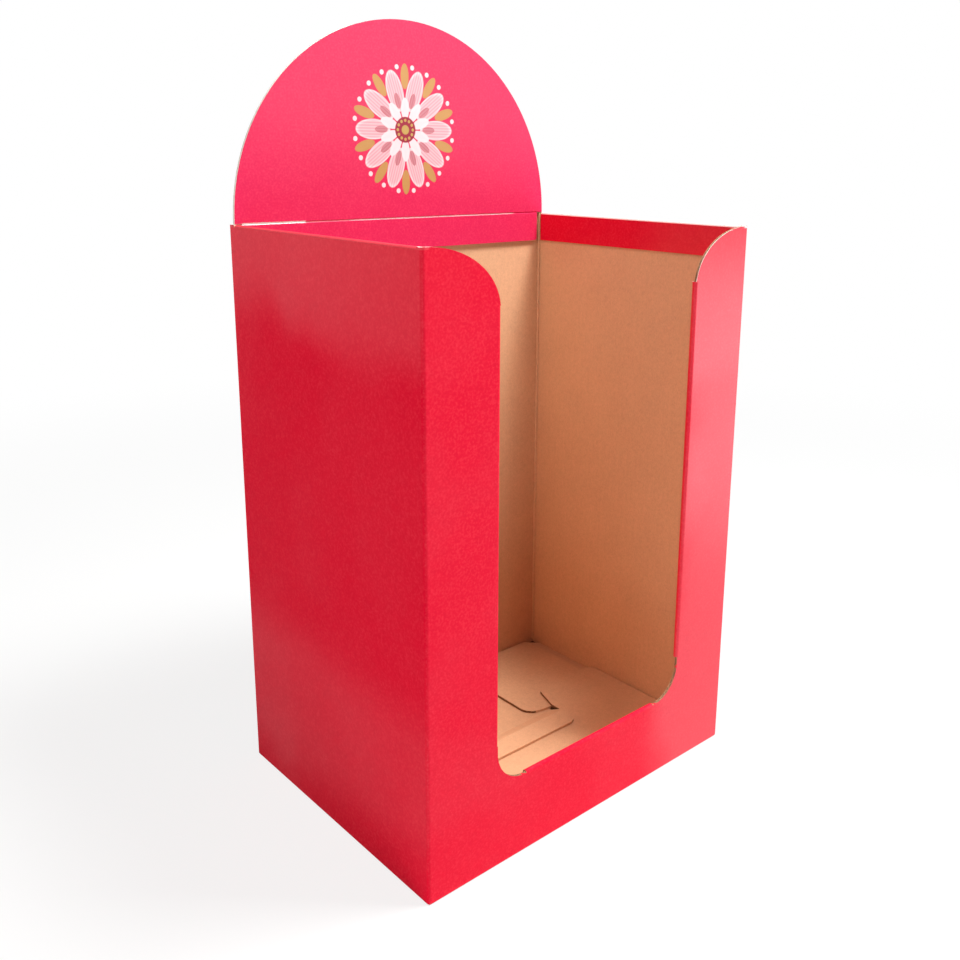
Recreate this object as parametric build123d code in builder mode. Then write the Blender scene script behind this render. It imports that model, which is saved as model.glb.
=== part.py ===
from build123d import *
import os

os.makedirs("parts", exist_ok=True)

# Floor display of corrugated board: an open-topped box whose front has a tall window,
# with an arched card standing up from its back wall. The box is one die-cut sheet,
# folded round, glued at one corner and closed below by four interlocking flaps.
# Millimetres. Front is -Y, the origin is the middle of the footprint on the floor.

# Driving dimensions
width = 430.0
depth = 320.0
wall_height = 600.0
board = 3.0

# Gaps between layers, and the folds
lap_gap = 0.3
fold_radius = 3.5
inner_fold_radius = 0.5
bottom_fold_radius = 2.5

# Beads: the ridges that the crushed liner makes inside the folded corners
bead_radius = 1.5
bead_bite = 0.2
bead_foot = 6.0

# Window in the front wall: two upright strips with rounded shoulders over a low panel
strip_width = 83.0
front_panel_height = 86.0
window_corner_radius = 36.0
shoulder_run = 80.0
shoulder_drop = 57.0

# Hems: edges of the sheet that are turned in and lie flat against the inside
hem_depth = 35.0
window_hem_depth = 32.0
window_hem_proud = 1.0
window_hem_relief = 8.0
window_hem_shoulder_reach = 4.0
sill_hem_relief = 2.0
side_hem_bead_gap = 1.2
side_hem_back_gap = 6.0
hem_root = 5.0

# Glued lap where the two ends of the sheet meet, at the back left corner
glue_lap_width = 35.0
glue_lap_slant = 12.0
glue_lap_bottom = 12.0
glue_lap_top_gap = 10.0
seam_width = 0.4
seam_depth = 2.2

# Bottom flaps, with distances measured from the outside of the wall each one hangs on.
# The catch flap hangs on the front wall, the lock flap with its tongue on the back wall.
flap_end_gap = 6.0
flap_bend_radius = 6.0
flap_side_gap = 2.0

catch_flap_reach = 202.0
catch_rise_start = 8.0
catch_rise_end = 42.0
notch_floor = 146.0
notch_throat = 166.0
notch_flare = 12.0
notch_clearance = 1.5
notch_corner_radius = 10.0

tongue_width = 203.0
tongue_tip = 119.0
tongue_corner_radius = 14.0
tongue_rise_gap = 3.0
lock_shoulder_gap = 8.0
lock_side_inset = 21.0
lock_root_taper = 8.0

side_flap_under_tongue = 32.0
side_flap_front = 168.0
side_flap_corner_radius = 18.0
side_flap_slope = 5.0
side_rise_start = 4.0
side_rise_end = 18.0
side_root_front = 50.0
side_root_back = 18.0
side_back_gap = 3.0
side_corner_cut = 6.0

# Header card
header_side_gap = 2.0
tab_depth = 35.0
tab_side_gap = 4.0
tab_corner_radius = 3.0
crease_width = 2.4
crease_depth = 0.8

# Places worked out from the dimensions
left, right = -width / 2, width / 2
front, back = -depth / 2, depth / 2
layer = board + lap_gap
turn_radius = board + lap_gap / 2
bead_reach = 2 * bead_radius - bead_bite
clear = 5.0


def height_of_layer(number):
    """Middle of the board in one of the layers of the floor, 0 being the lowest."""
    return board / 2 + number * layer


def fold_in(fold_end, toward_fold, inward, length, leaf_depth):
    """Turn an edge of a wall in: the board runs to its fold and lies back along itself."""
    plane = Plane(origin=fold_end, x_dir=toward_fold, z_dir=toward_fold.cross(inward))
    with BuildSketch(plane) as square_edge:
        with Locations((-turn_radius, -clear)):
            Rectangle(turn_radius + clear, clear + board + lap_gap / 2, align=Align.MIN)
    extrude(square_edge.sketch, amount=length, mode=Mode.SUBTRACT)
    with BuildSketch(plane) as hem_section:
        with BuildLine():
            Line((-turn_radius - hem_root, board / 2), (-turn_radius, board / 2))
            CenterArc((-turn_radius, turn_radius), turn_radius - board / 2, -90, 180)
            leaf_middle = 2 * turn_radius - board / 2
            Line((-turn_radius, leaf_middle), (-leaf_depth, leaf_middle))
        trace(line_width=board)
    extrude(hem_section.sketch, amount=length)


# Catch flap: rises clear of the side flaps, then lies flat on them. A wide notch in its
# free edge takes the tongue, and flares outwards so that the tongue finds its way in.
notch_half = tongue_width / 2 + notch_clearance
catch_half = width / 2 - board - flap_side_gap
with BuildPart() as catch_flap:
    with BuildSketch(Plane.YZ.offset(left)):
        with BuildLine():
            FilletPolyline(
                (front + bottom_fold_radius, height_of_layer(0)),
                (front + catch_rise_start, height_of_layer(0)),
                (front + catch_rise_end, height_of_layer(2)),
                (front + catch_flap_reach, height_of_layer(2)),
                radius=flap_bend_radius,
            )
        trace(line_width=board)
    extrude(amount=width)
    with BuildSketch() as catch_outline:
        with BuildLine():
            Polyline(
                (0, front),
                (width / 2 - flap_end_gap, front),
                (catch_half, front + catch_rise_end),
                (catch_half, front + catch_flap_reach),
                (notch_half + notch_flare, front + catch_flap_reach),
                (notch_half, front + notch_throat),
                (notch_half, front + notch_floor),
                (0, front + notch_floor),
            )
            mirror(about=Plane.YZ)
        make_face()
        notch_mouth = catch_outline.vertices().filter_by(
            lambda v: abs(v.Y - front - catch_flap_reach) < lap_gap
        )
        fillet(notch_mouth, notch_corner_radius)
    extrude(amount=3 * layer, mode=Mode.INTERSECT)

# Lock flap: the lowest layer. It narrows to a tongue, which climbs through the notch
# and lies on top of the catch flap, so the bottom holds itself shut.
lock_half = width / 2 - lock_side_inset
shoulder_y = front + side_flap_front + lock_shoulder_gap
rise_foot = front + side_flap_front - tongue_rise_gap
rise_head = front + notch_floor
with BuildPart() as lock_flap:
    with BuildSketch(Plane.YZ.offset(left)):
        with BuildLine():
            FilletPolyline(
                (back - bottom_fold_radius, height_of_layer(0)),
                (rise_foot, height_of_layer(0)),
                (rise_head, height_of_layer(3)),
                (front + tongue_tip, height_of_layer(3)),
                radius=flap_bend_radius,
            )
        trace(line_width=board)
    extrude(amount=width)
    with BuildSketch() as lock_outline:
        with BuildLine():
            Polyline(
                (0, back),
                (width / 2 - flap_end_gap - board, back),
                (lock_half, back - lock_root_taper),
                (lock_half, shoulder_y),
                (tongue_width / 2, shoulder_y),
                (tongue_width / 2, front + tongue_tip),
                (0, front + tongue_tip),
            )
            mirror(about=Plane.YZ)
        make_face()
        tongue_corners = lock_outline.vertices().filter_by(
            lambda v: abs(v.Y - front - tongue_tip) < lap_gap
        )
        fillet(tongue_corners, tongue_corner_radius)
    extrude(amount=4 * layer, mode=Mode.INTERSECT)

# Side flaps: between the other two. Each climbs over the edge of the lock flap and ends
# in a rounded corner that leaves the tongue its way up.
side_free_edge = notch_half - side_flap_under_tongue
with BuildPart() as side_flap:
    with BuildSketch(Plane.XZ.offset(-back)):
        with BuildLine():
            FilletPolyline(
                (right - bottom_fold_radius, height_of_layer(0)),
                (right - side_rise_start, height_of_layer(0)),
                (right - side_rise_end, height_of_layer(1)),
                (side_free_edge, height_of_layer(1)),
                radius=flap_bend_radius,
            )
        trace(line_width=board)
    extrude(amount=depth)
    with BuildSketch() as side_outline:
        with BuildLine():
            Polyline(
                (right, front + side_root_front),
                (right - side_rise_end, front + side_root_front),
                (notch_half, front + side_flap_front),
                (side_free_edge, front + side_flap_front + side_flap_slope),
                (side_free_edge, back - board - side_back_gap),
                (right - side_rise_end - side_corner_cut, back - board - side_back_gap),
                (right - side_rise_end, back - board - side_back_gap - side_corner_cut),
                (right, back - side_root_back),
                close=True,
            )
        make_face()
        free_corners = side_outline.vertices().group_by(Axis.X)[0]
        fillet(free_corners, side_flap_corner_radius)
    extrude(amount=2 * layer, mode=Mode.INTERSECT)

with BuildPart() as display_body:
    # Walls: the sheet goes round three folded corners, and bends round under each wall
    with BuildSketch() as wall_plan:
        Rectangle(width, depth)
        glued_corner = wall_plan.vertices().filter_by(lambda v: v.X < 0 and v.Y > 0)
        fillet(wall_plan.vertices() - glued_corner, fold_radius)
    extrude(amount=wall_height)
    fillet(display_body.faces().sort_by(Axis.Z).first.edges(), bottom_fold_radius)
    with BuildSketch():
        RectangleRounded(width - 2 * board, depth - 2 * board, inner_fold_radius)
    extrude(amount=wall_height, mode=Mode.SUBTRACT)

    # Beads inside the three folded corners, each bedded in both of its walls
    inner_x, inner_y = width / 2 - board, depth / 2 - board
    bead_inset = bead_radius - bead_bite
    with BuildSketch(Plane.XY.offset(bead_foot)):
        for side_x, side_y in ((1, 1), (1, -1), (-1, -1)):
            corner_x, corner_y = side_x * inner_x, side_y * inner_y
            bead_x, bead_y = corner_x - side_x * bead_inset, corner_y - side_y * bead_inset
            with BuildLine():
                Polyline(
                    (corner_x, corner_y),
                    (bead_x, corner_y),
                    (bead_x, bead_y),
                    (corner_x, bead_y),
                    close=True,
                )
            make_face()
            with Locations((bead_x, bead_y)):
                Circle(bead_radius)
    extrude(amount=wall_height - bead_foot)

    # Seam at the fourth corner: the cut end of the left wall, and beside it the bend of
    # the back wall, which turns forward behind it
    seam_x = left + board
    with BuildSketch():
        with BuildLine():
            Polyline(
                (seam_x + fold_radius, back),
                (seam_x + fold_radius, back + clear),
                (seam_x, back + clear),
                (seam_x, back - seam_depth),
                (seam_x + seam_width, back - seam_depth),
            )
            RadiusArc(
                (seam_x + seam_width, back - seam_depth),
                (seam_x + fold_radius, back),
                fold_radius,
            )
        make_face()
    extrude(amount=wall_height, mode=Mode.SUBTRACT)

    # Glued lap: the end of the back wall, bent forward and stuck inside the left wall
    with BuildSketch(Plane.YZ.offset(left + board)):
        with BuildLine():
            lap_top = wall_height - hem_depth - glue_lap_top_gap
            Polyline(
                (back - board, glue_lap_bottom),
                (back - board, lap_top),
                (back - board - glue_lap_width, lap_top - glue_lap_slant),
                (back - board - glue_lap_width, glue_lap_bottom + glue_lap_slant),
                close=True,
            )
        make_face()
    extrude(amount=board)

    # Window
    window_half = width / 2 - strip_width
    shoulder_start = wall_height - shoulder_drop
    shoulder_end = window_half + shoulder_run
    corner_top = front_panel_height + window_corner_radius
    with BuildSketch(Plane.XZ.offset(-front + clear)):
        with BuildLine():
            EllipticalCenterArc(
                (shoulder_end, shoulder_start), shoulder_run, shoulder_drop, 90, arc_size=90
            )
            Line((window_half, shoulder_start), (window_half, corner_top))
            CenterArc(
                (window_half - window_corner_radius, corner_top),
                window_corner_radius, 0, -90,
            )
            Line(
                (window_half - window_corner_radius, front_panel_height),
                (0, front_panel_height),
            )
            Polyline(
                (shoulder_end, wall_height),
                (shoulder_end, wall_height + clear),
                (0, wall_height + clear),
            )
            mirror(about=Plane.YZ)
        make_face()
    extrude(amount=-(board + 2 * clear), mode=Mode.SUBTRACT)

    # Hems along the tops of both side walls
    side_hem_start = front + board + bead_reach + side_hem_bead_gap
    side_hem_end = back - board - side_hem_back_gap
    side_hem_length = side_hem_end - side_hem_start
    up, inward = Vector(0, 0, 1), Vector(0, 1, 0)
    to_right, to_left = Vector(1, 0, 0), Vector(-1, 0, 0)
    fold_in(Vector(left, side_hem_start, wall_height), up, to_right, side_hem_length, hem_depth)
    fold_in(Vector(right, side_hem_end, wall_height), up, to_left, side_hem_length, hem_depth)

    # Hems along the straight edges of the window, which stop short of its round corners
    window_hem_low = corner_top + window_hem_relief
    window_hem_high = shoulder_start + window_hem_shoulder_reach
    window_hem_length = window_hem_high - window_hem_low
    window_hem_x = window_half - window_hem_proud
    fold_in(
        Vector(-window_hem_x, front, window_hem_low), to_right, inward,
        window_hem_length, window_hem_depth,
    )
    fold_in(
        Vector(window_hem_x, front, window_hem_high), to_left, inward,
        window_hem_length, window_hem_depth,
    )
    bottom_hem_half = window_half - window_corner_radius - sill_hem_relief
    fold_in(
        Vector(bottom_hem_half, front, front_panel_height + window_hem_proud), up, inward,
        2 * bottom_hem_half, window_hem_depth,
    )

    # Bottom
    add(catch_flap.part)
    add(lock_flap.part)
    add(side_flap.part)
    add(mirror(side_flap.part, about=Plane.YZ, mode=Mode.PRIVATE))

# Header card: an arch as wide as the box, creased where it leaves it. Its shoulders stand
# on the side walls and its narrower tab is glued inside the back wall.
header_half = width / 2 - header_side_gap
tab_half = width / 2 - 2 * board - lap_gap - tab_side_gap
shoulder_z = wall_height + lap_gap
card_back = back - board - lap_gap
with BuildPart() as header_card:
    with BuildSketch(Plane.XZ.offset(-card_back)) as card_outline:
        with BuildLine():
            CenterArc((0, shoulder_z), header_half, 0, 90)
            Polyline(
                (header_half, shoulder_z),
                (tab_half, shoulder_z),
                (tab_half, wall_height - tab_depth),
                (0, wall_height - tab_depth),
            )
            mirror(about=Plane.YZ)
        make_face()
        tab_corners = card_outline.vertices().group_by(Axis.Y)[0]
        fillet(tab_corners, tab_corner_radius)
    extrude(amount=board)
    card_front = card_back - board
    with BuildSketch(Plane.YZ.offset(-tab_half)):
        with BuildLine():
            Polyline(
                (card_front, wall_height - crease_width / 2),
                (card_front + crease_depth, wall_height),
                (card_front, wall_height + crease_width / 2),
                close=True,
            )
        make_face()
    extrude(amount=2 * tab_half, mode=Mode.SUBTRACT)

display_body.part.label = "display_body"
header_card.part.label = "header_card"
export_step(display_body.part, "parts/display_body.step")
export_step(header_card.part, "parts/header_card.step")
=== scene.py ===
"""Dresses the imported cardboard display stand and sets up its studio. Metres, in the frame of the CAD."""

import math

import bmesh
import bpy
from bpy.props import FloatProperty, FloatVectorProperty, IntProperty, PointerProperty
from mathutils import Matrix, Vector


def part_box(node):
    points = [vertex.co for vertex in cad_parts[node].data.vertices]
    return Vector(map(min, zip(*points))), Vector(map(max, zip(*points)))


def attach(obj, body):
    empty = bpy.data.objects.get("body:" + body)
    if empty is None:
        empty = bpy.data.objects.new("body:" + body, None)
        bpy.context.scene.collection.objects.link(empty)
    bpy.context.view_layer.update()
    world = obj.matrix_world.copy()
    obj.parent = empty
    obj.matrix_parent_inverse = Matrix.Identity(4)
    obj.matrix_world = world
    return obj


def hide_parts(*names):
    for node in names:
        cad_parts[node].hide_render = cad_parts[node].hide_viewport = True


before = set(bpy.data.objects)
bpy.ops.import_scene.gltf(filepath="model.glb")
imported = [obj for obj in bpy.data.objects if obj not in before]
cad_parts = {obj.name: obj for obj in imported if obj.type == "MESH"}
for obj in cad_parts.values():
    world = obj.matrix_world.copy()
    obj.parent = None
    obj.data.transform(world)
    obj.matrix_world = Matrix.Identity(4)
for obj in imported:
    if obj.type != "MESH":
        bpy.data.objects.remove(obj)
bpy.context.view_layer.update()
BODY_LOW, BODY_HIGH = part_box("display_body")
HEADER_LOW, HEADER_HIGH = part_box("header_card")

bl_info = {
    "name": "Cardboard display stand",
    "version": (1, 0, 0),
    "blender": (4, 5, 0),
    "location": "3D Viewport > Sidebar > Stand",
    "description": "Printed and bare board, cut edges, the header's print and a studio",
    "category": "Object",
}

MM = 0.001
TURN = 2 * math.pi
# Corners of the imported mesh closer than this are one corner, and edges that turn less are shaded smooth
WELD = 0.001 * MM
SMOOTH_TURN = math.radians(28)
# How much of a face's normal lies along an axis when it faces that way, and when it leans that way
FACING = 0.9
LEANING = 0.5
# Name under which each vertex keeps how deep in the board it lies
BOARD_DEPTH = "board_depth"


def length(name, description, default):
    return FloatProperty(name=name, description=description, default=default, unit="LENGTH", precision=5)


def colour(name, description, default):
    return FloatVectorProperty(
        name=name, description=description, default=default, size=3, subtype="COLOR", min=0, max=1
    )


class BoardSettings(bpy.types.PropertyGroup):
    """Corrugated board: its section and the colours of its two faces and its cut edges"""

    thickness: length("Thickness", "Thickness of the board", 3.0 * MM)
    layer_gap: length("Layer gap", "Air between two layers of board", 0.3 * MM)
    liner: length("Liner", "Thickness of the paper on each face, as a cut edge shows it", 0.35 * MM)
    flute_pitch: length("Flute pitch", "Distance from one flute to the next", 6.4 * MM)
    hem_depth: length("Hem depth", "Width of the edge turned in along the top of a side wall", 35 * MM)
    strip_width: length("Strip width", "Width of the front wall on each side of the window", 83 * MM)
    panel_height: length("Panel height", "Height of the front wall under the window", 86 * MM)
    window_hem_proud: length("Window hem proud", "How far a window hem's fold passes the cut edge", 1 * MM)
    bead_reach: length("Bead reach", "How far the ridge inside a folded corner stands out", 2.8 * MM)
    red: colour("Red", "Printed film on the box", (0.74, 0.004, 0.030))
    header_red: colour("Header red", "Printed film on the header card", (0.69, 0.021, 0.087))
    kraft: colour("Kraft", "Bare brown paper of the inside", (0.67, 0.375, 0.212))
    # Cut paper is kept dark as painted shade of the cut edges low in the window
    cut_paper: colour("Cut paper", "Brown paper that shows along a cut edge", (0.36, 0.19, 0.10))
    face_paper: colour("Face paper", "White paper under the print, seen on a cut edge", (0.90, 0.86, 0.80))
    # Painted shade in the hollows between the flutes of a cut edge
    flute_shade: colour("Cavity", "Hollows between the flutes of a cut edge", (0.16, 0.085, 0.045))
    # Crack and split show paper through the broken print, and also serve as painted highlight where a fold or
    # the crease catches light
    crack_and_highlight: colour("Crack", "Paper seen where the print has cracked over a fold", (0.90, 0.62, 0.60))
    split: colour("Split", "Paper seen where the print has split along the crease", (0.90, 0.87, 0.83))


class HeaderPrintSettings(bpy.types.PropertyGroup):
    """The medallion printed on the header card"""

    centre_height: length("Centre height", "Height of the medallion's middle above the floor", 697 * MM)
    petal_count: IntProperty(name="Petals", description="Petals in each of the two rings", default=10, min=3)
    scale: FloatProperty(name="Scale", description="Size of the medallion, 1 being 130 mm", default=1.08)
    pale: colour("Pale", "Petals", (0.88, 0.66, 0.68))
    crimson: colour("Crimson", "Heart and berries", (0.30, 0.012, 0.035))
    gold: colour("Gold", "Leaves and seeds", (0.48, 0.30, 0.085))


class StudioSettings(bpy.types.PropertyGroup):
    """Camera, floor and lamps"""

    camera_place: FloatVectorProperty(
        name="Camera place", description="Where the camera stands", default=(-0.6889, -0.7910, 0.6701),
        size=3, subtype="XYZ", unit="LENGTH",
    )
    heading: FloatProperty(name="Heading", description="Degrees from +Y towards +X", default=41.693)
    pitch: FloatProperty(name="Pitch", description="Degrees above the horizon", default=-13.461)
    roll: FloatProperty(name="Roll", description="Degrees that its right side is raised", default=0.47)
    lens: FloatProperty(name="Lens", description="Focal length on a 36 mm sensor, in mm", default=37.698)
    shift_x: FloatProperty(name="Shift X", description="Sideways shift of the lens", default=-0.026)
    shift_y: FloatProperty(name="Shift Y", description="Upward shift of the lens", default=-0.0875)
    floor_size: length("Floor size", "Side of the square floor", 40.0)
    floor: colour("Floor", "Pale floor", (0.86, 0.85, 0.84))
    # Painted shade: the floor under the stand is dark, as shade seen through the gaps in its bottom
    under: colour("Under", "Floor under the stand, as a gap in its bottom shows it", (0.09, 0.06, 0.04))
    world: colour("World", "Light from all round", (0.04, 0.04, 0.04))


class Value:
    """A number that varies over a surface: a node's output, with Python's operators as Math nodes."""

    def __init__(self, graph, socket):
        self.graph = graph
        self.socket = socket

    def __add__(self, other):
        return self.graph.math("ADD", self, other)

    def __radd__(self, other):
        return self.graph.math("ADD", other, self)

    def __sub__(self, other):
        return self.graph.math("SUBTRACT", self, other)

    def __rsub__(self, other):
        return self.graph.math("SUBTRACT", other, self)

    def __mul__(self, other):
        return self.graph.math("MULTIPLY", self, other)

    def __rmul__(self, other):
        return self.graph.math("MULTIPLY", other, self)

    def __truediv__(self, other):
        return self.graph.math("DIVIDE", self, other)

    def __rtruediv__(self, other):
        return self.graph.math("DIVIDE", other, self)

    def __pow__(self, other):
        return self.graph.math("POWER", self, other)

    def __abs__(self):
        return self.graph.math("ABSOLUTE", self)


class Graph:
    """The node tree of a material or a world."""

    def __init__(self, owner):
        owner.use_nodes = True
        self.tree = owner.node_tree
        self.tree.nodes.clear()

    def node(self, kind, settings=None, inputs=None):
        """Add a node, set it up, and give its sockets their values or links."""
        node = self.tree.nodes.new(kind)
        for name, setting in (settings or {}).items():
            setattr(node, name, setting)
        for key, given in (inputs or {}).items():
            socket = node.inputs[key]
            if isinstance(given, Value):
                given = given.socket
            if isinstance(given, bpy.types.NodeSocket):
                self.tree.links.new(given, socket)
            elif hasattr(given, "__len__") and len(given) == 3 and socket.type == "RGBA":
                socket.default_value = (*given, 1.0)
            else:
                socket.default_value = given
        return node

    def math(self, operation, *values):
        node = self.node("ShaderNodeMath", {"operation": operation}, dict(enumerate(values)))
        return Value(self, node.outputs[0])

    def place(self):
        """Place on the surface in the part's frame: as a vector, and as X, Y and Z."""
        coordinates = self.node("ShaderNodeTexCoord").outputs["Object"]
        split = self.node("ShaderNodeSeparateXYZ", inputs={"Vector": coordinates})
        return coordinates, [Value(self, split.outputs[axis]) for axis in "XYZ"]

    def step(self, value, start, end):
        """0 where value is at start, 1 where it is at end, and smooth between."""
        node = self.node(
            "ShaderNodeMapRange",
            {"interpolation_type": "SMOOTHSTEP"},
            {"Value": value, "From Min": start, "From Max": end},
        )
        return Value(self, node.outputs["Result"])

    def near(self, value, middle, reach, soft):
        """1 within reach of middle, falling to 0 over a further soft distance."""
        return self.step(abs(value - middle), reach + soft, reach)

    def noise(self, vector, per_metre, detail=2.0, stretch=(1, 1, 1), roughness=0.5):
        """Smooth noise about 0.5, with a number of blotches in a metre."""
        if stretch != (1, 1, 1):
            vector = self.node(
                "ShaderNodeVectorMath", {"operation": "MULTIPLY"}, {0: vector, 1: stretch}
            ).outputs[0]
        node = self.node(
            "ShaderNodeTexNoise", None,
            {"Vector": vector, "Scale": per_metre, "Detail": detail, "Roughness": roughness},
        )
        return Value(self, node.outputs["Fac"])

    def mix(self, factor, under, over):
        """Colour under where factor is 0, over where it is 1."""
        node = self.node(
            "ShaderNodeMix", {"data_type": "RGBA", "clamp_factor": True}, {0: factor, 6: under, 7: over}
        )
        return node.outputs[2]

    def brighten(self, tint, factor):
        """A colour times a number."""
        node = self.node("ShaderNodeVectorMath", {"operation": "SCALE"}, {0: tint, "Scale": factor})
        return node.outputs[0]

    def bump(self, height):
        """Normal of a surface raised by a height in metres."""
        inputs = {"Height": height, "Strength": 1.0, "Distance": 1.0}
        return self.node("ShaderNodeBump", None, inputs).outputs["Normal"]

    def surface(self, inputs):
        shader = self.node("ShaderNodeBsdfPrincipled", None, inputs)
        self.node("ShaderNodeOutputMaterial", None, {"Surface": shader.outputs["BSDF"]})


def washboard(graph, across, pitch):
    """The wave of the flutes across the board, from -1 to 1."""
    return graph.math("SINE", across * (TURN / pitch))


def printed_film(name, board, red, cracks_and_highlights, coat_and_painted_sheen, across_axis="X", artwork=None):
    """Gloss film over print. The first mask gives where it has cracked, with painted highlight on its folds.
    The second gives its coat's weight, with painted sheen where reflections fall.
    """
    material = bpy.data.materials.new(name)
    graph = Graph(material)
    vector, (x, y, z) = graph.place()
    mottle = graph.noise(vector, 160, detail=3)
    grain = graph.noise(vector, 430, detail=2)
    tint = graph.brighten(red, 0.86 + mottle * 0.10 + grain * 0.18)
    tint = graph.mix((grain - 0.45) * 0.07 + (mottle - 0.5) * 0.02, tint, tuple(board.face_paper))
    if artwork:
        tint = artwork(graph, tint, x, z)
    wear = graph.noise(vector, 420, detail=3, roughness=0.7)
    # The cracked mask also carries the painted highlight on the folds
    cracked, split = cracks_and_highlights(graph, x, y, z, wear)
    tint = graph.mix(cracked, tint, tuple(board.crack_and_highlight))
    if split:
        tint = graph.mix(split, tint, tuple(board.split))
        cracked = graph.math("MAXIMUM", cracked, split)
    blotch = graph.noise(vector, 7, detail=2)
    roughness = 0.26 + blotch * 0.16 + cracked * 0.25
    across = {"X": x, "Y": y}[across_axis]
    ribs = washboard(graph, across, board.flute_pitch) * (0.006 * MM)
    peel = graph.noise(vector, 900, detail=2) * (0.02 * MM)
    bow = graph.noise(vector, 6, detail=1, stretch=(1, 1, 0.6)) * (1.2 * MM)
    graph.surface(
        {
            "Base Color": tint,
            "Roughness": roughness,
            "IOR": 1.06,
            "Coat Weight": coat_and_painted_sheen(graph, x, y, z, blotch),
            "Coat Roughness": 0.34,
            "Normal": graph.bump(ribs + peel + bow - cracked * (0.05 * MM)),
        }
    )
    return material


def bare_kraft(name, board, across_axis="X"):
    """Bare brown liner: short fibres, dark flecks and the ribs of the flutes behind it."""
    material = bpy.data.materials.new(name)
    graph = Graph(material)
    vector, (x, y, z) = graph.place()
    fibres = graph.noise(vector, 400, detail=4, stretch=(1.5, 1.5, 1), roughness=0.65)
    cloud = graph.noise(vector, 22, detail=3)
    mottle = graph.noise(vector, 170, detail=3)
    fleck = graph.step(graph.noise(vector, 1100, detail=2), 0.68, 0.76)
    across = {"X": x, "Y": y}[across_axis]
    ribs = washboard(graph, across, board.flute_pitch)
    shade = 0.66 + fibres * 0.42 + mottle * 0.16 + cloud * 0.12 + ribs * 0.006 - fleck * 0.12
    graph.surface(
        {
            "Base Color": graph.brighten(tuple(board.kraft), shade),
            "Roughness": 0.78 + fibres * 0.12,
            "IOR": 1.4,
            "Normal": graph.bump(ribs * (0.014 * MM) + fibres * (0.06 * MM)),
        }
    )
    return material


def cut_edge(name, board, white_share, across_axis="X"):
    """Cut through the board: a share of white face paper, brown liners and the flutes between them. Low down
    the white is left out and the edge stays dark brown, as painted shade.
    """
    material = bpy.data.materials.new(name)
    graph = Graph(material)
    vector, (x, y, z) = graph.place()
    attribute = graph.node("ShaderNodeAttribute", {"attribute_name": BOARD_DEPTH})
    depth = Value(graph, attribute.outputs["Fac"])
    across = {"X": x, "Y": y}[across_axis]
    crush = graph.noise(vector, 260, detail=3) - 0.5
    wave = 0.5 + washboard(graph, across, board.flute_pitch) * 0.36 + crush * 0.25
    flute = graph.step(abs(depth - wave), 0.24, 0.12)
    liner_share = board.liner / board.thickness
    rim = graph.step(abs(depth - 0.5), 0.5 - liner_share * 1.6, 0.5 - liner_share)
    paper = graph.math("MAXIMUM", flute, rim)
    # Painted shade: the hollows between the flutes are drawn dark
    tint = graph.mix(paper, tuple(board.flute_shade), tuple(board.cut_paper))
    # Painted shade: below about 300 mm the white face paper is left out, so the lower cut edges look shaded
    lit_above = graph.step(z, 300 * MM, 450 * MM)
    white = graph.step(depth, 1.3 * white_share, 0.8 * white_share) * lit_above
    tint = graph.mix(white, tint, tuple(board.face_paper))
    fibre = graph.noise(vector, 900, detail=2)
    graph.surface(
        {
            "Base Color": graph.brighten(tint, 0.82 + fibre * 0.3),
            "Roughness": 0.85,
            "IOR": 1.4,
            "Normal": graph.bump(paper * (0.15 * MM) + fibre * (0.05 * MM)),
        }
    )
    return material


def box_cracks_and_highlights(graph, x, y, z, wear):
    """Where the film has cracked and where its folds catch light: the right hem's crest, and faintly the left
    one's and the corners. The white there is partly cracked print and partly painted highlight.
    """
    crest = graph.step(z, BODY_HIGH.z - 2.7 * MM, BODY_HIGH.z - 1.9 * MM)
    beside = graph.step(abs(x), BODY_HIGH.x - 7.5 * MM, BODY_HIGH.x - 6.5 * MM)
    # Painted highlight: the crest is much whiter on the right, where the light falls on it
    strength = 0.06 + graph.step(x, 0, BODY_HIGH.x / 2) * 0.84
    crest = crest * beside * graph.step(wear, 0.22, 0.42) * strength
    # Partly painted highlight: a faint light line down the front corners
    side = graph.step(abs(x), BODY_HIGH.x - 1.4 * MM, BODY_HIGH.x - 0.7 * MM)
    front = graph.step(y, BODY_LOW.y + 1.4 * MM, BODY_LOW.y + 0.7 * MM)
    corner = side * front * graph.step(wear, 0.45, 0.62) * 0.15
    return graph.math("MAXIMUM", crest, corner), None


def header_split_and_highlight(graph, x, y, z, wear):
    """The crease where the header leaves the box, white where its print has split and where the fold catches
    light (painted highlight): split open at the left, a thin line further on.
    """
    crease = BODY_HIGH.z
    front = graph.step(y, HEADER_LOW.y + 1.2 * MM, HEADER_LOW.y + 0.9 * MM)
    ragged = z + (wear - 0.5) * (1.2 * MM)
    # Painted highlight with split print: a white bar along the crease at the left
    split = graph.near(ragged, middle=crease + 0.2 * MM, reach=0.9 * MM, soft=0.4 * MM)
    split = split * graph.near(x, middle=-168 * MM, reach=35 * MM, soft=3 * MM)
    uneven = z + (wear - 0.5) * (0.8 * MM)
    fine = graph.near(uneven, middle=crease, reach=0.45 * MM, soft=0.5 * MM)
    fine = fine * graph.step(x, 168 * MM, 160 * MM) * graph.step(wear, 0.25, 0.45)
    left = graph.step(x, -60 * MM, -85 * MM)
    fine = fine * (0.70 - left * 0.45)
    return fine * front, split * front


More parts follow.
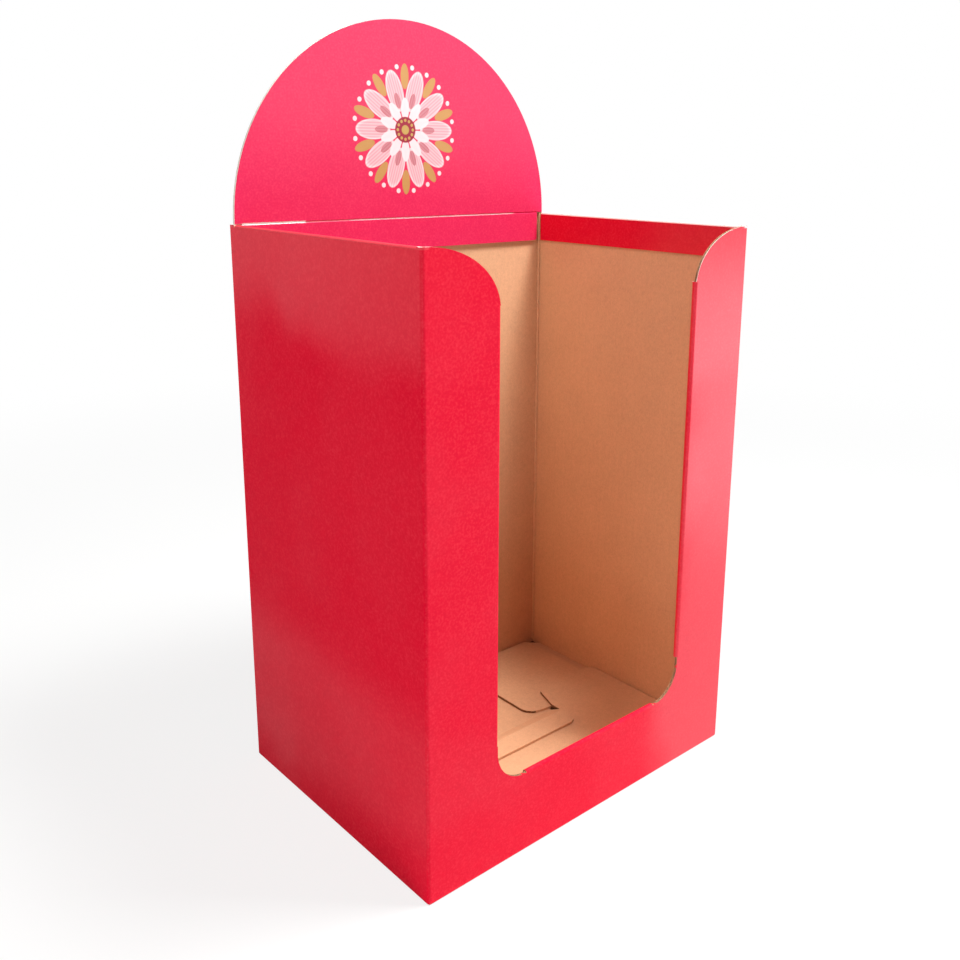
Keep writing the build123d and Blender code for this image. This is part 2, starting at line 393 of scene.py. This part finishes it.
def box_gloss_and_painted_sheen(graph, x, y, z, blotch):
    """Weight of the film's coat: random blotches, and painted sheen in bands at the top and foot of the sides
    and on the right strip, where reflections fall.
    """
    wander = (blotch - 0.5) * (100 * MM)
    patch = graph.step(blotch, 0.42, 0.62)
    side = graph.step(abs(x), BODY_HIGH.x - 2 * MM, BODY_HIGH.x - 1 * MM)
    top = graph.step(z + wander, 485 * MM, 550 * MM)
    foot = graph.near(z + wander, middle=110 * MM, reach=40 * MM, soft=70 * MM)
    strip = graph.step(x + wander, 70 * MM, 160 * MM) * graph.step(y, 0, BODY_LOW.y / 2)
    strip = strip * (0.66 + graph.step(abs(z - 370 * MM), 50 * MM, 160 * MM) * 0.34)
    wall = patch * 0.06 + graph.math("MAXIMUM", top * 0.32, foot * 0.20)
    front = graph.math("MINIMUM", 0.14 + patch * 0.12 + strip, 1.0)
    return front + (wall - front) * side


def header_gloss_and_painted_sheen(graph, x, y, z, blotch):
    """Weight of the header's coat: a little over all of the card above the crease, and painted sheen that
    grows towards its top.
    """
    rise = graph.step(z + (blotch - 0.5) * (80 * MM), BODY_HIGH.z, HEADER_HIGH.z - 85 * MM)
    above = graph.step(z, BODY_HIGH.z - 5 * MM, BODY_HIGH.z + 5 * MM)
    return above * 0.08 + rise * 0.66


def ring_of_petals(graph, radius, angle, count, reach, long, wide, turn=0.0):
    """A ring of ovals round the middle: 0 at an oval's heart, 1 on its rim, more outside.

    The distance from each oval's long axis comes with it. Sizes are in the medallion's own millimetres.
    """
    sector = TURN / count
    share = angle / sector + turn
    local = (share - graph.math("ROUND", share)) * sector
    along = radius * graph.math("COSINE", local) - reach
    side = radius * graph.math("SINE", local)
    return (along / (long / 2)) ** 2 + (side / (wide / 2)) ** 2, side


def medallion(settings):
    """A printed rosette: pale petals with fine veins, leaves behind them and a seeded heart."""

    def paint(graph, tint, x, z):
        size = MM * settings.scale
        u, v = x / size, (z - settings.centre_height) / size
        radius = graph.math("SQRT", u * u + v * v)
        angle = graph.math("ARCTAN2", v, u)
        count = settings.petal_count
        pale, crimson, gold = tuple(settings.pale), tuple(settings.crimson), tuple(settings.gold)

        def paint_ring(under, over, ring, strength=1.0):
            return graph.mix(graph.step(ring, 1.08, 0.92) * strength, under, over)

        leaf, _ = ring_of_petals(graph, radius, angle, count, reach=53, long=25, wide=10, turn=0.5)
        tint = paint_ring(tint, gold, leaf, 0.85)
        berry, _ = ring_of_petals(graph, radius, angle, 2 * count, reach=62.5, long=5, wide=5, turn=0.5)
        tint = paint_ring(tint, pale, berry, 0.9)
        petal, side = ring_of_petals(graph, radius, angle, count, reach=40, long=42, wide=20)
        vein = graph.math("SINE", side * 2.2) * 0.5 + 0.5
        gloss = graph.step(petal, 0.55, 0.95)
        body = graph.mix(0.45 + vein * 0.25 + gloss * 0.3, tint, pale)
        tint = paint_ring(tint, body, petal)
        blush, _ = ring_of_petals(graph, radius, angle, count, reach=30, long=16, wide=7)
        tint = paint_ring(tint, crimson, blush, 0.55)
        inner, side = ring_of_petals(graph, radius, angle, count, reach=21, long=22, wide=10, turn=0.5)
        tint = paint_ring(tint, pale, inner, 0.95)
        tint = graph.mix(graph.step(radius, 13.5, 12.5), tint, crimson)
        seeds, _ = ring_of_petals(graph, radius, angle, count=12, reach=9.5, long=3.2, wide=3.2)
        tint = paint_ring(tint, gold, seeds)
        tint = graph.mix(graph.step(radius, 5.2, 4.2), tint, gold)
        return tint

    return paint


def flat_copy(node, name):
    """A mesh with the node's shape, its vertices joined up so that regions can be followed."""
    work = bmesh.new()
    work.from_mesh(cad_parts[node].data)
    bmesh.ops.remove_doubles(work, verts=work.verts, dist=WELD)
    work.normal_update()
    return work, bpy.data.meshes.new(name)


def finish_piece(work, mesh, name, node, materials):
    """Turn the worked mesh into a piece of the scene that stands for its CAD node."""
    for edge in work.edges:
        edge.smooth = len(edge.link_faces) == 2 and edge.calc_face_angle(0.0) < SMOOTH_TURN
    for face in work.faces:
        face.smooth = True
    work.to_mesh(mesh)
    work.free()
    for material in materials:
        mesh.materials.append(material)
    piece = bpy.data.objects.new(name, mesh)
    bpy.context.scene.collection.objects.link(piece)
    weighted = piece.modifiers.new("flat faces stay flat", "WEIGHTED_NORMAL")
    weighted.keep_sharp = True
    weighted.weight = 100
    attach(piece, "root")
    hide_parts(node)


# Finishes of the box, in the order of its materials. X or Y is the way across the flutes.
PRINT_X, KRAFT_X, KRAFT_Y, CUT_X, CUT_Y, PRINT_Y = range(6)
# Finishes of the header card, in the order of its materials
HEADER_PRINT, HEADER_KRAFT, HEADER_CUT = range(3)


def mark_board_depth(work, printed):
    """Store on each vertex how deep in the board it lies: 0 on the print side, 1 on the bare side."""
    layer = work.verts.layers.float.new(BOARD_DEPTH)
    for vertex in work.verts:
        indices = {face.material_index for face in vertex.link_faces}
        vertex[layer] = 0.0 if indices & printed else 1.0


def hem_folds(settings):
    """For each hem, a test that tells how far out from the middle of its fold a point lies."""
    turn = settings.thickness + settings.layer_gap / 2
    window_x = BODY_HIGH.x - settings.strip_width - settings.window_hem_proud
    sill_z = settings.panel_height + settings.window_hem_proud

    def side(point):
        across, up = abs(point.x) - (BODY_HIGH.x - turn), point.z - (BODY_HIGH.z - turn)
        return math.hypot(across, up) if up > 0 else 0.0

    def jamb(point):
        across, deep = abs(point.x) - (window_x + turn), point.y - (BODY_LOW.y + turn)
        return math.hypot(across, deep) if across < 0 else 0.0

    def sill(point):
        up, deep = point.z - (sill_z - turn), point.y - (BODY_LOW.y + turn)
        return math.hypot(up, deep) if up > 0 else 0.0

    return turn, side, jamb, sill


def body_material(face, settings, folds):
    """Which finish a face of the box has, told from where it lies and where it looks."""
    centre, normal = face.calc_center_median(), face.normal
    board, gap = settings.thickness, settings.layer_gap
    close = 0.08 * MM
    corner_bend = 3.6 * MM
    bottom_bend = 2.6 * MM
    x_in = BODY_HIGH.x - abs(centre.x)
    front_in, back_in = centre.y - BODY_LOW.y, BODY_HIGH.y - centre.y
    wall_in = min(front_in, back_in)
    outward = normal.x * math.copysign(1.0, centre.x)
    floor_top = 4 * (board + gap)
    folded = 2 * board + gap
    upright = abs(normal.z) < LEANING
    looks_down = normal.z < -0.05
    above_floor = centre.z > floor_top
    if centre.z < floor_top and abs(normal.z) > LEANING:
        return PRINT_X if normal.z < 0 else KRAFT_X
    if centre.z < bottom_bend and looks_down:
        return PRINT_X
    if x_in < close and outward > FACING:
        return PRINT_Y
    if front_in < close and normal.y < -FACING or back_in < close and normal.y > FACING:
        return PRINT_X
    if x_in < corner_bend and wall_in < corner_bend and upright and outward > 0 and normal.y * centre.y > 0:
        return PRINT_X

    turn, side, jamb, sill = folds
    leaf_low = BODY_HIGH.z - settings.hem_depth
    if abs(side(centre) - turn) < close and abs(normal.y) < LEANING and back_in > folded:
        return PRINT_Y
    if abs(folded - x_in) < close and outward < -FACING and centre.z > leaf_low:
        return PRINT_Y
    if above_floor and abs(jamb(centre) - turn) < close and upright:
        return PRINT_X
    between_strips = abs(centre.x) < BODY_HIGH.x - settings.strip_width
    if above_floor and abs(sill(centre) - turn) < close and abs(normal.x) < LEANING and between_strips:
        return PRINT_X
    if abs(folded - front_in) < close and normal.y > FACING and above_floor:
        return PRINT_X

    bead_in = board + settings.bead_reach + close
    if max(x_in, wall_in) < bead_in and min(x_in, wall_in) > board - close and upright:
        return KRAFT_X
    if abs(normal.y) > FACING:
        return KRAFT_X
    if abs(outward) > FACING and board - close < x_in < folded + close:
        return KRAFT_Y
    return CUT_Y if x_in < wall_in and above_floor else CUT_X


class STAND_OT_display_body(bpy.types.Operator):
    """Dress the box: printed film outside and on the hems, kraft inside, cut edges with flutes"""

    bl_idname = "stand.display_body"
    bl_label = "Display body"

    def execute(self, context):
        settings = context.scene.stand_board
        red = tuple(settings.red)
        materials = [
            printed_film("printed_front", settings, red, box_cracks_and_highlights, box_gloss_and_painted_sheen, "X"),
            bare_kraft("kraft_front", settings, "X"),
            bare_kraft("kraft_side", settings, "Y"),
            cut_edge("cut_edge_front", settings, 0.15, "X"),
            cut_edge("cut_edge_side", settings, 0.15, "Y"),
            printed_film("printed_side", settings, red, box_cracks_and_highlights, box_gloss_and_painted_sheen, "Y"),
        ]
        work, mesh = flat_copy("display_body", "display_body_board")
        folds = hem_folds(settings)
        for face in work.faces:
            face.material_index = body_material(face, settings, folds)
        mark_board_depth(work, {PRINT_X, PRINT_Y})
        finish_piece(work, mesh, "display_body_board", "display_body", materials)
        return {"FINISHED"}


def header_material(face):
    """Which finish a face of the header has: print in front and in its crease, kraft behind, cut round it."""
    if face.normal.y < -LEANING:
        return HEADER_PRINT
    if face.normal.y > FACING:
        return HEADER_KRAFT
    return HEADER_CUT


class STAND_OT_header_card(bpy.types.Operator):
    """Dress the header card: print with its medallion, the cracked crease, kraft behind"""

    bl_idname = "stand.header_card"
    bl_label = "Header card"

    def execute(self, context):
        settings = context.scene.stand_board
        red = tuple(settings.header_red)
        artwork = medallion(context.scene.stand_header_print)
        materials = [
            printed_film("printed_header", settings, red, header_split_and_highlight, header_gloss_and_painted_sheen, "X", artwork),
            bare_kraft("kraft_header", settings, "X"),
            # Partly painted highlight: the header's cut edge is white over most of its depth, more than its
            # face paper covers
            cut_edge("cut_edge_header", settings, 0.85, "X"),
        ]
        work, mesh = flat_copy("header_card", "header_card_board")
        for face in work.faces:
            face.material_index = header_material(face)
        mark_board_depth(work, {HEADER_PRINT})
        finish_piece(work, mesh, "header_card_board", "header_card", materials)
        return {"FINISHED"}


def seen_directly(graph):
    """1 for rays from the camera, from a gloss and through glass, 0 for the light that falls on things."""
    path = graph.node("ShaderNodeLightPath").outputs
    kinds = ("Is Camera Ray", "Is Glossy Ray", "Is Transmission Ray")
    camera, glossy, through = (Value(graph, path[kind]) for kind in kinds)
    return graph.math("MINIMUM", camera + glossy + through, 1.0)


def make_world(context, settings):
    world = bpy.data.worlds.new("studio")
    context.scene.world = world
    graph = Graph(world)
    light = graph.node("ShaderNodeBackground", None, {"Color": tuple(settings.world), "Strength": 1.0})
    white = graph.node("ShaderNodeBackground", None, {"Color": (1, 1, 1), "Strength": 1.0})
    inputs = {0: seen_directly(graph), 1: light.outputs[0], 2: white.outputs[0]}
    mixed = graph.node("ShaderNodeMixShader", None, inputs)
    graph.node("ShaderNodeOutputWorld", None, {"Surface": mixed.outputs[0]})


# Share of its own shading that the floor keeps near the stand, and the distances over which that fades
SHADOW_SHARE = 0.18
SHADOW_NEAR = 0.7
SHADOW_FAR = 2.2


def make_floor(context, settings):
    """A wide pale floor that keeps some of the stand's shadow and is white where nothing shades it, with
    painted shade under the stand.
    """
    half = settings.floor_size / 2
    work = bmesh.new()
    signs = ((-1, -1), (1, -1), (1, 1), (-1, 1))
    work.faces.new([work.verts.new((across * half, along * half, 0)) for across, along in signs])
    mesh = bpy.data.meshes.new("floor")
    work.to_mesh(mesh)
    work.free()
    material = bpy.data.materials.new("floor")
    graph = Graph(material)
    paper = graph.node("ShaderNodeBsdfDiffuse", None, {"Color": tuple(settings.floor)})
    under = graph.node("ShaderNodeBsdfDiffuse", None, {"Color": tuple(settings.under)})
    white = graph.node("ShaderNodeEmission", None, {"Color": (1, 1, 1), "Strength": 1.0})
    _, (x, y, _) = graph.place()
    outside = graph.math("MAXIMUM", abs(x) - BODY_HIGH.x, abs(y) - BODY_HIGH.y)
    beside = graph.step(outside, -3 * MM, -0.5 * MM)
    away = graph.step(graph.math("SQRT", x * x + y * y), SHADOW_NEAR, SHADOW_FAR)
    share = (1 - SHADOW_SHARE) + away * SHADOW_SHARE
    factor = seen_directly(graph) * beside * share
    # Painted shade: inside the stand's footprint the floor is dark paper
    inputs = {0: beside, 1: under.outputs[0], 2: paper.outputs[0]}
    shaded = graph.node("ShaderNodeMixShader", None, inputs)
    inputs = {0: factor, 1: shaded.outputs[0], 2: white.outputs[0]}
    mixed = graph.node("ShaderNodeMixShader", None, inputs)
    graph.node("ShaderNodeOutputMaterial", None, {"Surface": mixed.outputs[0]})
    mesh.materials.append(material)
    floor = bpy.data.objects.new("floor", mesh)
    context.scene.collection.objects.link(floor)


# Each soft box: its name, place, width, height, power in watts and tint
LAMPS = (
    ("top_light", (0.0, -0.1, 2.4), 1.8, 1.8, 5, (1, 0.99, 1)),
    ("key_light", (0.63, -0.6, 2.4), 0.6, 0.6, 90, (0.96, 1, 1)),
    ("left_light", (-2.6, -0.5, 1.3), 1.4, 1.4, 15, (1, 0.90, 0.84)),
    ("left_top_light", (-1.6, -0.9, 2.0), 1.0, 1.0, 15, (1, 0.93, 0.88)),
    ("left_back_light", (-2.0, 2.4, 0.6), 1.2, 0.7, 4, (1, 0.88, 0.84)),
    ("right_front_light", (1.5, -2.5, 1.1), 1.6, 1.2, 8.5, (0.90, 0.97, 1)),
    ("low_right_light", (0.8, -0.62, 0.26), 0.5, 0.48, 2.2, (0.88, 0.96, 1)),
)
LAMP_AIM = Vector((0, 0, 0.4))


def area_lamp(context, name, place, width, height, power, tint):
    """A soft box at place that looks at the middle of the stand."""
    light = bpy.data.lights.new(name, "AREA")
    light.shape = "RECTANGLE"
    light.size, light.size_y = width, height
    light.energy, light.color = power, tint
    lamp = bpy.data.objects.new(name, light)
    lamp.location = place
    lamp.rotation_euler = (LAMP_AIM - Vector(place)).to_track_quat("-Z", "Y").to_euler()
    lamp.visible_camera = False
    context.scene.collection.objects.link(lamp)


def make_camera(context, settings):
    heading, pitch = math.radians(settings.heading), math.radians(settings.pitch)
    ahead = Vector(
        (math.sin(heading) * math.cos(pitch), math.cos(heading) * math.cos(pitch), math.sin(pitch))
    )
    right = ahead.cross(Vector((0, 0, 1))).normalized()
    right = Matrix.Rotation(-math.radians(settings.roll), 3, ahead) @ right
    up = right.cross(ahead)
    data = bpy.data.cameras.new("camera")
    data.lens, data.sensor_width = settings.lens, 36
    data.shift_x, data.shift_y = settings.shift_x, settings.shift_y
    data.clip_start, data.clip_end = 0.01, 100
    camera = bpy.data.objects.new("camera", data)
    turn = Matrix((right, up, -ahead)).transposed().to_4x4()
    camera.matrix_world = Matrix.Translation(settings.camera_place) @ turn
    context.scene.collection.objects.link(camera)
    context.scene.camera = camera


class STAND_OT_studio(bpy.types.Operator):
    """Make the floor, the lamps, the white surroundings and the camera"""

    bl_idname = "stand.studio"
    bl_label = "Studio"

    def execute(self, context):
        settings = context.scene.stand_studio
        context.scene.view_settings.view_transform = "Standard"
        make_world(context, settings)
        make_floor(context, settings)
        for lamp in LAMPS:
            area_lamp(context, *lamp)
        make_camera(context, settings)
        return {"FINISHED"}


class STAND_PT_pieces(bpy.types.Panel):
    """The stand's pieces and its studio"""

    bl_idname = "STAND_PT_pieces"
    bl_label = "Display stand"
    bl_space_type = "VIEW_3D"
    bl_region_type = "UI"
    bl_category = "Stand"

    def draw(self, context):
        column = self.layout.column()
        for operator in OPERATORS:
            column.operator(operator.bl_idname)
        for group in SETTINGS:
            values = getattr(context.scene, group)
            for name in values.bl_rna.properties.keys():
                if name not in ("rna_type", "name"):
                    column.prop(values, name)


OPERATORS = (STAND_OT_display_body, STAND_OT_header_card, STAND_OT_studio)
SETTINGS = {
    "stand_board": BoardSettings,
    "stand_header_print": HeaderPrintSettings,
    "stand_studio": StudioSettings,
}


def register():
    for group in (*SETTINGS.values(), *OPERATORS, STAND_PT_pieces):
        bpy.utils.register_class(group)
    for name, group in SETTINGS.items():
        setattr(bpy.types.Scene, name, PointerProperty(type=group))


def unregister():
    for name in SETTINGS:
        delattr(bpy.types.Scene, name)
    for group in reversed((*SETTINGS.values(), *OPERATORS, STAND_PT_pieces)):
        bpy.utils.unregister_class(group)


def main():
    register()
    bpy.ops.stand.display_body()
    bpy.ops.stand.header_card()
    bpy.ops.stand.studio()


if __name__ == "__main__":
    main()
